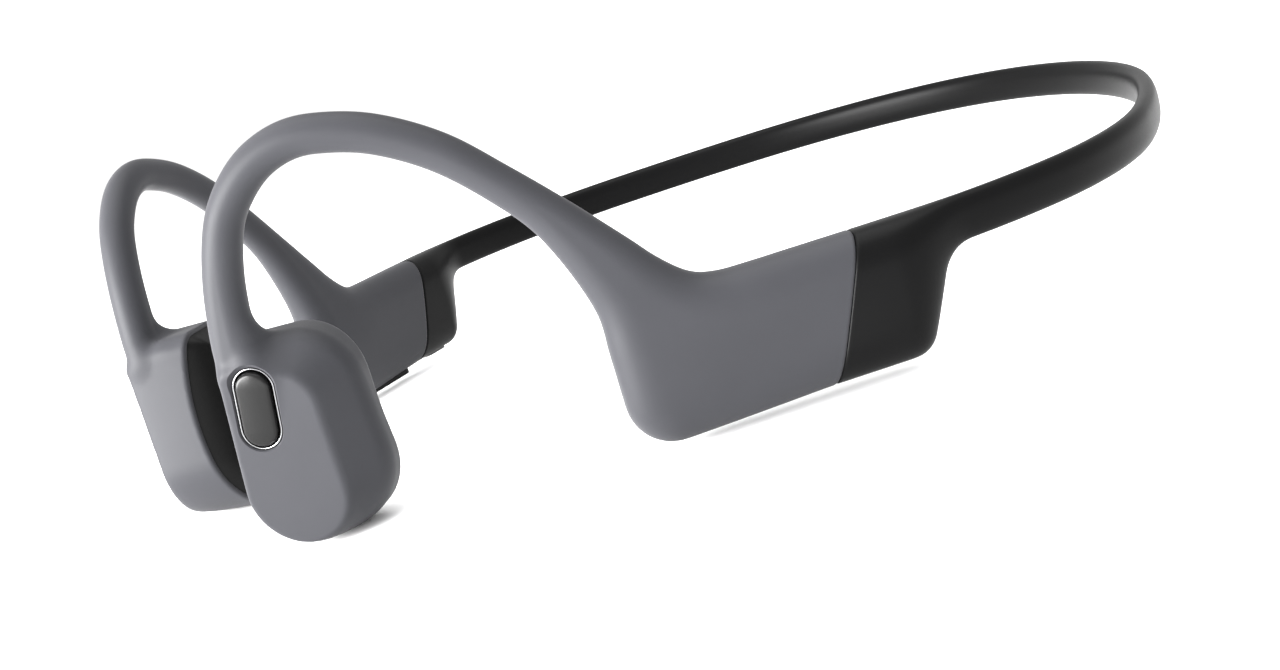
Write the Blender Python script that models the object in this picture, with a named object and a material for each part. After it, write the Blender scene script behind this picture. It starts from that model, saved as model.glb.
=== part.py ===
"""Bone conduction headphones: a rear neckband with two electronics housings, ear hooks and transducer pods.

Frame: +Z up, the wearer faces -Y, the wearer's left is +X. The headphones lie on a table at z = 0.
All sizes below are millimetres; mesh_object() turns them into metres.
"""

import math

import bmesh
import bpy
import numpy as np

MM = 0.001
GAP = 0.3
TURN = 2 * math.pi

# Plan curve of one half, seen from above, as tangent arcs from the rear centre: (length, turn in degrees).
REAR_Y = 75.61
PLAN_ARCS = [
    (50.0, 48.0), (25.0, 15.0), (25.0, 31.0), (25.0, 22.5), (28.0, 2.5), (22.0, 7.0), (45.0, 26.0),
]

# Neckband
BAND_HALF_LENGTH = 113.0
PLAN_STRETCH = BAND_HALF_LENGTH / 113.0  # stretches the arcs above with the band
BAND_HEIGHT = 5.4
BAND_THICKNESS = 2.7
BAND_RISE = 2.2
BAND_BORE_HEIGHT = 3.0
BAND_BORE_WIDTH = 1.5

# Housing: lengths run along the plan curve, heights above the table
HOUSING_BASE = 1.7
FRONT_DROP = 0.7
HOUSING_HEIGHT = 16.4
HOUSING_THICKNESS = 8.0
HOUSING_START = 5.8
HOUSING_LENGTH = 38.5
ALONG = HOUSING_LENGTH / 38.5  # stretches what lies along the housing with it
THROUGH = HOUSING_THICKNESS / 8.0  # and what lies through its thickness
SPLIT_TOP = 8.6 * ALONG
SPLIT_SLANT = 6.4 * ALONG
REAR_CORNER = 3.4
REAR_FILLET = 4.6
FRONT_CORNER = 5.4
SKIN_WALL = 1.0

# Ear hook
HOOK_DIAMETER = 4.4
HOOK_RISE = 27.2
HOOK_SPAN = 38.6
HOOK_BORE = 2.6

# Transducer pod, in the pod's own plane: across (rearward and outward), up, and depth (towards the head)
POD_ANGLE = 45.0
POD_ACROSS = 18.2
POD_TALL = 25.1
POD_LEAN = 3.2
POD_TILT = 3.5
POD_FACE_DEPTH = 4.6
POD_SHELL_DEPTH = 8.2
POD_TOTAL_DEPTH = 13.4
POD_WALL = 1.1
FACE_ACROSS = 11.6
FACE_TALL = POD_TALL - 3.0
PAD_WALL = 1.0
PAD_BAND = 1.8
PAD_CROWN = 3.0

# Button on the left pod
BUTTON_LONG = 8.4
BUTTON_WIDE = 3.6
BUTTON_PROUD = 0.5
BUTTON_TRAVEL = 0.35
BEZEL_WALL = 0.5
BUTTON_LEAN = 10.0
SWITCH_DEPTH = 0.7

# Transducer
YOKE_RADIUS = 6.0
YOKE_DEPTH = POD_SHELL_DEPTH - 4.0
YOKE_WALL = 0.8
MAGNET_RADIUS = 4.0
MAGNET_DEPTH = 1.8
PLATE_DEPTH = 0.8
COIL_WALL = 0.45
SPRING_DEPTH = 0.35
SPRING_STAND_OFF = 1.3
YOKE_AT = 1.4
CLEAR = 0.2

# Wires
CORE_RADIUS = 0.5
LEAD_RADIUS = 0.36

# Housing contents
CELL_LENGTH = HOUSING_LENGTH - 18.5
CELL_HEIGHT = 10.4
CELL_THICKNESS = HOUSING_THICKNESS - 4.6
BOARD_THICKNESS = 0.8
FRAME_THICKNESS = 0.7
FRAME_HEIGHT = 7.4
FRAME_AT = -2.35 * THROUGH
VOLUME_LONG = 5.4 * ALONG
VOLUME_WIDE = 2.2
VOLUME_PROUD = 0.45
VOLUME_TRAVEL = 0.3

COLOURS = {
    "grey_skin": ((0.145, 0.150, 0.165), 0.55, 0.0),
    "black_skin": ((0.012, 0.012, 0.013), 0.45, 0.0),
    "pad_rubber": ((0.010, 0.010, 0.010), 0.5, 0.0),
    "button_gloss": ((0.020, 0.020, 0.022), 0.18, 0.0),
    "bright_metal": ((0.62, 0.63, 0.65), 0.22, 1.0),
    "titanium": ((0.45, 0.44, 0.42), 0.35, 1.0),
    "iron": ((0.35, 0.36, 0.38), 0.35, 1.0),
    "magnet_nickel": ((0.55, 0.55, 0.55), 0.25, 1.0),
    "copper": ((0.72, 0.33, 0.14), 0.3, 1.0),
    "board": ((0.02, 0.10, 0.05), 0.5, 0.0),
    "chip": ((0.02, 0.02, 0.02), 0.4, 0.0),
    "cell_foil": ((0.30, 0.32, 0.36), 0.35, 0.4),
    "frame_plastic": ((0.05, 0.05, 0.055), 0.6, 0.0),
    "gold": ((0.83, 0.62, 0.25), 0.25, 1.0),
    "clear_plastic": ((0.75, 0.76, 0.78), 0.2, 0.0),
    "lead_jacket": ((0.35, 0.02, 0.02), 0.5, 0.0),
}


# ---------------------------------------------------------------- curves

def rounded_polygon(corners, per_corner):
    """Closed outline of straight runs with an arc at each corner (x, y, radius), anticlockwise."""
    out = []
    n = len(corners)
    for i, (x, y, radius) in enumerate(corners):
        here = np.array([x, y])
        back = np.array(corners[i - 1][:2]) - here
        ahead = np.array(corners[(i + 1) % n][:2]) - here
        back /= np.linalg.norm(back)
        ahead /= np.linalg.norm(ahead)
        half = math.acos(float(np.clip(back @ ahead, -1, 1))) / 2
        middle = (back + ahead) / np.linalg.norm(back + ahead)
        centre = here + middle * radius / math.sin(half)
        first = here + back * radius / math.tan(half) - centre
        last = here + ahead * radius / math.tan(half) - centre
        begin = math.atan2(first[1], first[0])
        sweep = (math.atan2(last[1], last[0]) - begin + math.pi) % TURN - math.pi
        for k in range(per_corner):
            angle = begin + sweep * k / (per_corner - 1)
            out.append(centre + radius * np.array([math.cos(angle), math.sin(angle)]))
    return np.array(out)


def inset(corners, by):
    """The same polygon moved in by a distance on every side, each radius smaller by as much."""
    n = len(corners)
    lines = []
    for i in range(n):
        a = np.array(corners[i][:2])
        b = np.array(corners[(i + 1) % n][:2])
        along = (b - a) / np.linalg.norm(b - a)
        lines.append((a + by * np.array([-along[1], along[0]]), along))
    out = []
    for i in range(n):
        (p, d), (q, e) = lines[i - 1], lines[i]
        t, _ = np.linalg.solve(np.column_stack([d, -e]), q - p)
        out.append((*(p + t * d), max(corners[i][2] - by, 0.4)))
    return out


def plan(s):
    """Point and heading on the plan curve, at a length from the rear centre. The last arc runs on."""
    x, y, heading = 0.0, REAR_Y, 0.0
    for i, (span, turn) in enumerate(PLAN_ARCS):
        length = span * PLAN_STRETCH
        run = s if i == len(PLAN_ARCS) - 1 else min(s, length)
        bend = math.radians(turn) / length
        x += (math.sin(heading + bend * run) - math.sin(heading)) / bend
        y += (math.cos(heading + bend * run) - math.cos(heading)) / bend
        heading += bend * run
        s -= run
        if s <= 0:
            break
    return x, y, heading


def on_arm(s, z, outward=0.0):
    """Point of the left half: a length along the plan curve, a height, and a distance outward from it."""
    x, y, heading = plan(s)
    return np.array([x + outward * math.sin(heading), y + outward * math.cos(heading), z])


def normal_at(s):
    heading = plan(s)[2]
    return np.array([math.sin(heading), math.cos(heading), 0.0])


def section(upper, lower, thickness, normal, squareness, count):
    """Superellipse ring whose height runs from one rail point to the other."""
    middle = (upper + lower) / 2
    half = (upper - lower) / 2
    ring = []
    for k in range(count):
        angle = TURN * k / count
        up = math.copysign(abs(math.cos(angle)) ** (2 / squareness), math.cos(angle))
        out = math.copysign(abs(math.sin(angle)) ** (2 / squareness), math.sin(angle))
        ring.append(middle + half * up + normal * (thickness / 2) * out)
    return ring


# ---------------------------------------------------------------- meshes

def material(slot):
    found = bpy.data.materials.get(slot)
    if found:
        return found
    colour, roughness, metallic = COLOURS[slot]
    made = bpy.data.materials.new(slot)
    made.use_nodes = True
    shader = made.node_tree.nodes["Principled BSDF"]
    shader.inputs["Base Color"].default_value = (*colour, 1.0)
    shader.inputs["Roughness"].default_value = roughness
    shader.inputs["Metallic"].default_value = metallic
    return made


def mesh_object(name, slot, loops, closed=False, mirror=False, origin=(0, 0, 0)):
    """One solid from rings of equal length. An open run gets end caps; a closed one joins its ends."""
    origin = np.asarray(origin, float)
    flip = np.array([-1.0, 1.0, 1.0]) if mirror else np.ones(3)
    bm = bmesh.new()
    rings = [[bm.verts.new((np.asarray(p) * flip - origin) * MM) for p in loop] for loop in loops]
    pairs = list(zip(rings, rings[1:]))
    if closed:
        pairs.append((rings[-1], rings[0]))
    for first, second in pairs:
        n = len(first)
        for k in range(n):
            bm.faces.new((first[k], first[(k + 1) % n], second[(k + 1) % n], second[k]))
    if not closed:
        bm.faces.new(rings[0][::-1])
        bm.faces.new(rings[-1])
    bmesh.ops.recalc_face_normals(bm, faces=bm.faces)
    if bm.calc_volume(signed=True) < 0:
        bmesh.ops.reverse_faces(bm, faces=bm.faces)
    mesh = bpy.data.meshes.new(name)
    bm.to_mesh(mesh)
    bm.free()
    mesh.materials.append(material(slot))
    mesh.shade_smooth()
    mesh.set_sharp_from_angle(angle=math.radians(35))
    made = bpy.data.objects.new(name, mesh)
    made.location = origin * MM
    bpy.context.scene.collection.objects.link(made)
    return made


def cut(target, cutter):
    """Boolean difference; the cutter stays in the file as a guide."""
    cutter.hide_render = True
    cutter.display_type = "WIRE"
    boolean = target.modifiers.new("cut_" + cutter.name, "BOOLEAN")
    boolean.operation = "DIFFERENCE"
    boolean.solver = "EXACT"
    boolean.object = cutter


def tube(name, slot, points, radius, mirror=False):
    """Solid round wire along the points, as a bevelled curve with filled caps."""
    flip = -1.0 if mirror else 1.0
    curve = bpy.data.curves.new(name, "CURVE")
    curve.dimensions = "3D"
    curve.bevel_depth = radius * MM
    curve.bevel_resolution = 1
    curve.use_fill_caps = True
    line = curve.splines.new("POLY")
    line.points.add(len(points) - 1)
    for target, (x, y, z) in zip(line.points, points):
        target.co = (x * flip * MM, y * MM, z * MM, 1.0)
    curve.materials.append(material(slot))
    made = bpy.data.objects.new(name, curve)
    bpy.context.scene.collection.objects.link(made)
    return made


class Place:
    """A local frame on one side: across, up and depth directions from an origin."""

    def __init__(self, origin, across, up, depth):
        self.origin = np.asarray(origin, float)
        self.across = np.asarray(across, float)
        self.up = np.asarray(up, float)
        self.depth = np.asarray(depth, float)

    def point(self, a, u, d):
        return self.origin + self.across * a + self.up * u + self.depth * d

    def ring(self, outline, d):
        return [self.point(a, u, d) for a, u in outline]


def prism(name, slot, place, outline, levels, mirror=False, origin=(0, 0, 0)):
    """Solid of one outline between two depths."""
    return mesh_object(name, slot, [place.ring(outline, d) for d in levels], mirror=mirror, origin=origin)


def pipe(name, slot, place, outer, inner, start, end, mirror=False):
    """Outline with a hole right through, between two depths."""
    loops = [
        place.ring(outer, start), place.ring(outer, end), place.ring(inner, end), place.ring(inner, start),
    ]
    return mesh_object(name, slot, loops, closed=True, mirror=mirror)


def cup(name, slot, place, outer, inner, start, floor, end, mirror=False):
    """Outline with a closed floor at start and an opening at end."""
    loops = [
        place.ring(outer, start), place.ring(outer, end), place.ring(inner, end), place.ring(inner, floor),
    ]
    return mesh_object(name, slot, loops, mirror=mirror)


def circle(radius, centre=(0.0, 0.0), count=24):
    return [
        (centre[0] + radius * math.cos(TURN * k / count), centre[1] + radius * math.sin(TURN * k / count))
        for k in range(count)
    ]


def pill(long, wide, centre=(0.0, 0.0), lean=0.0, per_end=9):
    """Stadium outline whose long side stands up, leaning by an angle in degrees."""
    run = (long - wide) / 2
    out = []
    for k in range(2 * per_end):
        end = 1 if k < per_end else -1
        angle = math.pi * (k % per_end) / (per_end - 1) + (0 if end > 0 else math.pi)
        out.append((math.cos(angle) * wide / 2, end * run + math.sin(angle) * wide / 2))
    cosine = math.cos(math.radians(lean))
    sine = math.sin(math.radians(lean))
    return [(centre[0] + a * cosine + u * sine, centre[1] - a * sine + u * cosine) for a, u in out]


def rectangle(wide, tall, centre=(0.0, 0.0), corner=0.3):
    a, u = centre
    signs = [(-1, -1), (1, -1), (1, 1), (-1, 1)]
    return rounded_polygon([(a + i * wide / 2, u + j * tall / 2, corner) for i, j in signs], 3)


# ---------------------------------------------------------------- side outline of an arm

TOP = HOUSING_BASE + HOUSING_HEIGHT
BAND_LOW = TOP - BAND_HEIGHT
REAR_EDGE = BAND_HALF_LENGTH + HOUSING_START
FRONT_EDGE = REAR_EDGE + HOUSING_LENGTH
SPLIT_AT = REAR_EDGE + SPLIT_TOP
HOOK_START = FRONT_EDGE + 1.5

HOOK_CLEAR = 0.616  # the hook ends this far above the pod

# Hook centreline as fractions of its span and its rise above the housing's top edge
HOOK_LINE = [
    (0.00, 0.40), (0.115, 0.595), (0.255, 0.79), (0.415, 0.93), (0.56, 0.993), (0.66, 1.0),
    (0.76, 0.955), (0.845, 0.865), (0.912, 0.742), (0.965, 0.53), (0.992, (POD_TALL + HOOK_CLEAR - TOP) / HOOK_RISE),
]


def hook_centre(fraction, rise):
    return np.array([HOOK_START + HOOK_SPAN * fraction, TOP + HOOK_RISE * rise])


def by_index(values, t):
    """Smooth value between control values one step apart."""
    values = np.asarray(values, float)
    i = min(int(t), len(values) - 2)
    f = t - i
    before = values[max(i - 1, 0)]
    a, b = values[i], values[i + 1]
    after = values[min(i + 2, len(values) - 1)]
    return a + f * (b - before) / 2 + f * f * (before - 2.5 * a + 2 * b - after / 2) + f**3 * (
        1.5 * (a - b) + (after - before) / 2
    )


def hook_rails():
    """Upper and lower rail points beside each point of the hook's centreline."""
    centres = [hook_centre(*pair) for pair in HOOK_LINE]
    uppers, lowers = [], []
    for i, centre in enumerate(centres):
        along = centres[min(i + 1, len(centres) - 1)] - centres[max(i - 1, 0)]
        if i == len(centres) - 1:
            along = np.array([0.0, -1.0])
        along /= np.linalg.norm(along)
        side = np.array([-along[1], along[0]]) * HOOK_DIAMETER / 2
        if i == 0:
            side *= 1.18
        uppers.append(centre + side)
        lowers.append(centre - side)
    return uppers, lowers


def front_rails():
    """Control points of both rails from the colour split to the hook's end, with thickness and squareness."""
    corner = FRONT_CORNER * (1 - math.sqrt(0.5))
    front_base = HOUSING_BASE - FRONT_DROP
    uppers = [
        (SPLIT_AT, TOP), (SPLIT_AT + 3.4 * ALONG, TOP), (SPLIT_AT + 7.0 * ALONG, TOP), (FRONT_EDGE - 17.2, TOP),
        (FRONT_EDGE - 14.0, TOP + 0.15), (FRONT_EDGE - 11.2, TOP + 1.0),
        (FRONT_EDGE - 8.3, TOP + 3.5), (FRONT_EDGE - 5.6, TOP + 6.7),
    ]
    lowers = [
        (SPLIT_AT + SPLIT_SLANT, HOUSING_BASE),
        (SPLIT_AT + SPLIT_SLANT + 5.5 * ALONG, HOUSING_BASE - FRONT_DROP * 0.3),
        (SPLIT_AT + SPLIT_SLANT + 11.5 * ALONG, HOUSING_BASE - FRONT_DROP * 0.65),
        (FRONT_EDGE - FRONT_CORNER, front_base),
        (FRONT_EDGE - corner, front_base + corner), (FRONT_EDGE, front_base + FRONT_CORNER),
        (FRONT_EDGE, TOP - 5.6), (FRONT_EDGE + 0.2, TOP + 0.4),
    ]
    root = len(uppers)
    hook_upper, hook_lower = hook_rails()
    uppers = [np.array(p, float) for p in uppers] + hook_upper
    lowers = [np.array(p, float) for p in lowers] + hook_lower
    fat, thin = HOUSING_THICKNESS, HOOK_DIAMETER
    taper = [1.0, 1.0, 1.0, 1.0, 0.97, 0.88, 0.66, 0.38, 0.12]
    thickness = [thin + (fat - thin) * f for f in taper] + [thin] * (len(uppers) - len(taper))
    square = [3.2, 3.2, 3.2, 3.2, 3.1, 2.9, 2.6, 2.3, 2.1]
    square = square + [2.0] * (len(uppers) - len(square))
    solid = [0.0, 0.0, 0.0, 0.0, 0.0, 0.15, 0.6, 1.0]
    solid = solid + [1.0] * (len(uppers) - len(solid))
    return uppers, lowers, thickness, square, solid, root


def arm_rings(upper, lower, thickness, square, solid, bore, count):
    """Outer and inner ring of one station; bore is (height, width) of the channel where the skin is solid."""
    s = (upper[0] + lower[0]) / 2
    normal = normal_at(s)
    high, low = on_arm(*upper), on_arm(*lower)
    outer = section(high, low, thickness, normal, square, count)
    middle, half = (high + low) / 2, (high - low) / 2
    size = np.linalg.norm(half)
    reach = (size - SKIN_WALL) * (1 - solid) + bore[0] / 2 * solid
    wide = (thickness - 2 * SKIN_WALL) * (1 - solid) + bore[1] * solid
    inner = section(middle + half / size * reach, middle - half / size * reach, wide, normal, square, count)
    return outer, inner


def skin_of(name, slot, stations, count, mirror):
    """Tubular skin, open at both ends."""
    pairs = [arm_rings(*station, count) for station in stations]
    loops = [outer for outer, _ in pairs] + [inner for _, inner in reversed(pairs)]
    return mesh_object(name, slot, loops, closed=True, mirror=mirror)


def hook_skin(name, mirror):
    uppers, lowers, thickness, square, solid, root = front_rails()
    step = GAP / (SPLIT_SLANT + 3.4)
    wanted = [step, 1.0, 2.0, 3.0, 3.5, 4.0, 4.5, 5.0, 5.5, 6.0, 6.5, 7.0, 7.5]
    wanted += list(np.arange(root, len(uppers) - 0.99, 0.5))
    stations = []
    for t in wanted:
        values = [by_index(column, t) for column in (uppers, lowers, thickness, square, solid)]
        stations.append((*values, (HOOK_BORE, HOOK_BORE)))
    return skin_of(name, "grey_skin", stations, 16, mirror)


def rear_cover(name, mirror):
    """Black part of the housing, from the neckband to the colour split."""
    start = BAND_HALF_LENGTH + GAP
    rear_top = np.array([REAR_EDGE - 2.2, BAND_LOW])
    rear_low = np.array([REAR_EDGE + 3.0, HOUSING_BASE])
    down = (rear_low - rear_top) / np.linalg.norm(rear_low - rear_top)
    drop = math.atan2(-down[1], down[0])
    lowers = [np.array([start, BAND_LOW])]
    tangent = REAR_FILLET * math.tan(drop / 2)
    centre = rear_top + np.array([-tangent, -REAR_FILLET])
    for k in range(5):
        angle = drop * k / 4
        lowers.append(centre + REAR_FILLET * np.array([math.sin(angle), math.cos(angle)]))
    tangent = REAR_CORNER * math.tan(drop / 2)
    centre = rear_low + np.array([tangent, REAR_CORNER])
    for k in range(5):
        angle = drop * (1 - k / 4)
        lowers.append(centre - REAR_CORNER * np.array([math.sin(angle), math.cos(angle)]))
    uppers = [np.array([p[0], TOP]) for p in lowers]
    end_top = np.array([SPLIT_AT - GAP, TOP])
    end_low = np.array([SPLIT_AT + SPLIT_SLANT - GAP, HOUSING_BASE])
    for f in (0.5, 1.0):
        uppers.append(uppers[10] * (1 - f) + end_top * f)
        lowers.append(lowers[10] * (1 - f) + end_low * f)
    stations = []
    for upper, lower in zip(uppers, lowers):
        f = min(max((lower[0] - start) / (lowers[10][0] - start), 0.0), 1.0)
        f = f * f * (3 - 2 * f)
        thickness = BAND_THICKNESS + (HOUSING_THICKNESS - BAND_THICKNESS) * f
        solid = 1 - min(max((lower[0] - lowers[4][0]) / (lowers[9][0] - lowers[4][0]), 0.0), 1.0)
        bore = (BAND_BORE_HEIGHT, BAND_BORE_WIDTH)
        stations.append((upper, lower, thickness, 2.6 + 0.6 * f, solid, bore))
    return skin_of(name, "black_skin", stations, 16, mirror)


# ---------------------------------------------------------------- neckband

def band_height(s):
    """The band rises a little towards the rear centre."""
    f = min(abs(s) / (BAND_HALF_LENGTH - 12.0), 1.0)
    return TOP - BAND_HEIGHT / 2 + BAND_RISE * (1 - f * f * (3 - 2 * f))


def band_point(s, up=0.0):
    x, y, _ = plan(abs(s))
    return np.array([math.copysign(x, s), y, band_height(s) + up])


def neckband():
    spans = np.linspace(-BAND_HALF_LENGTH, BAND_HALF_LENGTH, 43)
    loops = [[], []]
    for s in spans:
        middle = band_point(s)
        normal = normal_at(abs(s)) * np.array([math.copysign(1.0, s), 1.0, 1.0])
        for ring, height, width in ((0, BAND_HEIGHT, BAND_THICKNESS), (1, BAND_BORE_HEIGHT, BAND_BORE_WIDTH)):
            up = np.array([0.0, 0.0, height / 2])
            loops[ring].append(section(middle + up, middle - up, width, normal, 2.6, 12))
    mesh_object("neckband_skin", "black_skin", loops[0] + loops[1][::-1], closed=True)
    end = BAND_HALF_LENGTH - GAP
    route = np.linspace(-end, end, 43)
    low = -BAND_BORE_HEIGHT / 2 + CORE_RADIUS + 0.3
    high = BAND_BORE_HEIGHT / 2 - LEAD_RADIUS - 0.35
    tube("neckband_core_wire", "titanium", [band_point(s, low) for s in route], CORE_RADIUS)
    tube("neckband_signal_lead", "lead_jacket", [band_point(s, high) for s in route], LEAD_RADIUS)


# ---------------------------------------------------------------- pod

def pod_place():
    """Frame of the left pod: its origin lies under the end of the hook, at table height."""
    end = hook_centre(*HOOK_LINE[-1])
    turn = math.radians(POD_ANGLE)
    across = np.array([math.cos(turn), math.sin(turn), 0.0])
    depth = np.array([-math.sin(turn), math.cos(turn), 0.0])
    lean = math.tan(math.radians(POD_TILT))
    origin = on_arm(end[0], 0.0) + depth * lean * POD_TALL
    return Place(origin, across, np.array([0.0, 0.0, 1.0]) - depth * lean, depth)


FACE_AT = -2.4
POD_LEFT = -3.3
SIDE_AT = FACE_AT + POD_FACE_DEPTH
SHELL_END = FACE_AT + POD_SHELL_DEPTH
PAD_START = SHELL_END + GAP
PAD_FACE = FACE_AT + POD_TOTAL_DEPTH
BUTTON_AT = (0.4, 17.9)
TRANSDUCER_AT = (3.2, 10.6)
MICROPHONE_AT = (6.4, POD_TALL - 4.9)
MICROPHONE = (2.6, 1.9, 1.0)
SEAL_WALL = 0.6
SEAL_REACH = 0.9

# Depth and share of the face outline, from the flat face back to where the side wall starts
FACE_ROUNDING = [
    (FACE_AT, 1.0), (FACE_AT + 0.35, 0.93), (FACE_AT + 1.9, 0.55), (FACE_AT + POD_FACE_DEPTH * 0.75, 0.2),
    (SIDE_AT, 0.0), (SHELL_END, 0.0),
]
HOLLOW_ROUNDING = [(SHELL_END, 0.0), (SIDE_AT, 0.0), (FACE_AT + 2.3, 0.5), (FACE_AT + POD_WALL, 0.93)]


def pod_corners():
    """Full outline of the pod, anticlockwise from the lower left."""
    right = POD_LEFT - POD_LEAN + POD_ACROSS
    return [
        (POD_LEFT - POD_LEAN, 0.0, 7.8), (right + 0.2, 0.0, 8.9), (right - 0.3, POD_TALL, 7.4),
        (POD_LEFT, POD_TALL, 2.2),
    ]


def face_corners():
    """Outline of the flat face inside its crease."""
    left = POD_LEFT - POD_LEAN + 0.5
    right = left + FACE_ACROSS + 1.2
    return [
        (left, 0.7, 6.4), (right - 0.2, 0.9, 4.6), (right + 0.2, FACE_TALL - 1.6, 4.4),
        (POD_LEFT + 0.3, FACE_TALL + 0.9, 1.5),
    ]


def pod_outline(by, share=0.0, per_corner=6):
    """Pod outline moved in by a distance, then drawn towards the face outline by a share."""
    full = rounded_polygon(inset(pod_corners(), by), per_corner)
    face = rounded_polygon(inset(face_corners(), by), per_corner)
    return full * (1 - share) + face * share


def pod(side, mirror):
    place = pod_place()
    loops = [place.ring(pod_outline(0.0, share), d) for d, share in FACE_ROUNDING]
    loops += [place.ring(pod_outline(POD_WALL, share), d) for d, share in HOLLOW_ROUNDING]
    shell = mesh_object(side + "_pod_shell", "grey_skin", loops, mirror=mirror)
    above = Place(place.point(0, POD_TALL + 1.0, 0), place.across, place.depth, (0, 0, -1))
    bore = circle(HOOK_BORE / 2, count=12)
    cut(shell, prism(side + "_wire_hole", "grey_skin", above, bore, (0.0, POD_WALL + 3.0), mirror))
    crown = [
        (PAD_FACE, PAD_CROWN), (PAD_FACE - 0.7, PAD_CROWN - 1.3),
        (PAD_START + PAD_BAND, 0.35), (PAD_START, 0.0),
    ]
    hollow = [
        (PAD_START, PAD_WALL), (PAD_START + PAD_BAND, 0.35 + PAD_WALL),
        (PAD_FACE - PAD_WALL, PAD_CROWN + 0.4),
    ]
    loops = [place.ring(pod_outline(by), d) for d, by in crown + hollow]
    mesh_object(side + "_contact_pad", "pad_rubber", loops, mirror=mirror)
    seal = pod_outline(POD_WALL + GAP, per_corner=4)
    seal_inner = pod_outline(POD_WALL + GAP + SEAL_WALL, per_corner=4)
    ends = (SHELL_END - SEAL_REACH, PAD_START + SEAL_REACH)
    pipe(side + "_pod_seal", "pad_rubber", place, seal, seal_inner, *ends, mirror)
    transducer(side, place, mirror)
    wide, tall, deep = MICROPHONE
    start = FACE_AT + POD_FACE_DEPTH - deep
    outline = rectangle(wide, tall, MICROPHONE_AT)
    prism(side + "_microphone", "bright_metal", place, outline, (start, start + deep), mirror)
    return place, shell


def transducer(side, place, mirror):
    """Moving-coil driver: magnet and plate in a yoke, the coil on the spring plate behind the pad."""
    back = YOKE_AT
    front = back + YOKE_DEPTH
    magnet = back + YOKE_WALL + CLEAR
    plate = magnet + MAGNET_DEPTH + CLEAR
    cup(
        side + "_transducer_yoke", "iron", place, circle(YOKE_RADIUS, TRANSDUCER_AT),
        circle(YOKE_RADIUS - YOKE_WALL, TRANSDUCER_AT), back, back + YOKE_WALL, front, mirror,
    )
    prism(
        side + "_transducer_magnet", "magnet_nickel", place, circle(MAGNET_RADIUS, TRANSDUCER_AT),
        (magnet, magnet + MAGNET_DEPTH), mirror,
    )
    prism(
        side + "_magnet_top_plate", "iron", place, circle(MAGNET_RADIUS, TRANSDUCER_AT),
        (plate, plate + PLATE_DEPTH), mirror,
    )
    coil = MAGNET_RADIUS + 0.35
    spring = front + SPRING_STAND_OFF
    pipe(
        side + "_voice_coil", "copper", place, circle(coil + COIL_WALL, TRANSDUCER_AT),
        circle(coil, TRANSDUCER_AT), plate, spring - CLEAR, mirror,
    )
    prism(
        side + "_spring_plate", "bright_metal", place, circle(YOKE_RADIUS - CLEAR, TRANSDUCER_AT),
        (spring, spring + SPRING_DEPTH), mirror,
    )


def button_pill(by):
    """Outline of the button, grown by a distance all round."""
    return pill(BUTTON_LONG + 2 * by, BUTTON_WIDE + 2 * by, BUTTON_AT, BUTTON_LEAN)


def multifunction_button(place, shell):
    hole = button_pill(BEZEL_WALL + 2 * GAP)
    cut(shell, prism("button_hole", "grey_skin", place, hole, (FACE_AT - 2.0, FACE_AT + POD_WALL + 1.0)))
    ends = (FACE_AT + 0.05, FACE_AT + POD_WALL + 0.3)
    pipe("button_bezel", "bright_metal", place, button_pill(BEZEL_WALL + GAP), button_pill(GAP), *ends)
    face = FACE_AT - BUTTON_PROUD
    back = FACE_AT + POD_WALL + 0.2
    rounding = [(-0.55, face), (-0.15, face + 0.2), (0.0, face + 0.5), (0.0, back)]
    loops = [place.ring(button_pill(by), d) for by, d in rounding]
    mesh_object("multifunction_button", "button_gloss", loops, origin=place.point(*BUTTON_AT, face))
    switch = back + BUTTON_TRAVEL + 0.15
    switch_back = switch + SWITCH_DEPTH
    prism("button_switch", "bright_metal", place, rectangle(2.6, 3.4, BUTTON_AT), (switch, switch_back))
    board = switch_back + 0.1
    prism("button_board", "board", place, rectangle(3.8, 7.6, BUTTON_AT), (board, board + 0.4))


def hook_wires(side, mirror):
    """Spring core and signal lead side by side in the hook's channel, from the housing to the pod."""
    uppers, lowers = front_rails()[:2]
    wires = [
        ("_hook_core_wire", "titanium", 0.6, CORE_RADIUS), ("_hook_lead", "lead_jacket", -0.68, LEAD_RADIUS),
    ]
    for name, slot, shift, radius in wires:
        points = []
        for t in np.arange(6.5, len(uppers) - 0.99, 0.5):
            upper, lower = by_index(uppers, t), by_index(lowers, t)
            middle = (upper + lower) / 2
            along = (upper - lower) / np.linalg.norm(upper - lower)
            points.append(on_arm(*(middle + along * shift)))
        tail = points[-1].copy()
        tail[2] = POD_TALL - POD_WALL - 0.9
        tube(side + name, slot, [*points, tail], radius, mirror)


# ---------------------------------------------------------------- housing contents

def housing_place(s, z):
    """Frame inside the housing: across runs forward along the arm, depth points outward."""
    heading = plan(s)[2]
    along = (math.cos(heading), -math.sin(heading), 0.0)
    return Place(on_arm(s, z), along, (0, 0, 1), normal_at(s))


CELL_AT = FRONT_EDGE - 15.0 * ALONG
CELL_INNER = FRAME_AT + FRAME_THICKNESS + GAP
CELL_REAR = CELL_AT - CELL_LENGTH / 2
MIDDLE = HOUSING_BASE + HOUSING_HEIGHT / 2
BOARD_INNER = -0.4
BOARD_LOW = HOUSING_BASE + 4.4
BOARD_TALL = HOUSING_HEIGHT - 7.0


def block(name, slot, s, z, size, depth, mirror):
    """Flat block in the housing: size is (length, height, depth), and depth starts at a distance outward."""
    outline = rectangle(size[0], size[1])
    return prism(name, slot, housing_place(s, z), outline, (depth, depth + size[2]), mirror)


def housing_frame(side, mirror):
    size = (CELL_LENGTH, FRAME_HEIGHT, FRAME_THICKNESS)
    block(side + "_housing_frame", "frame_plastic", CELL_AT, MIDDLE, size, FRAME_AT, mirror)


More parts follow.
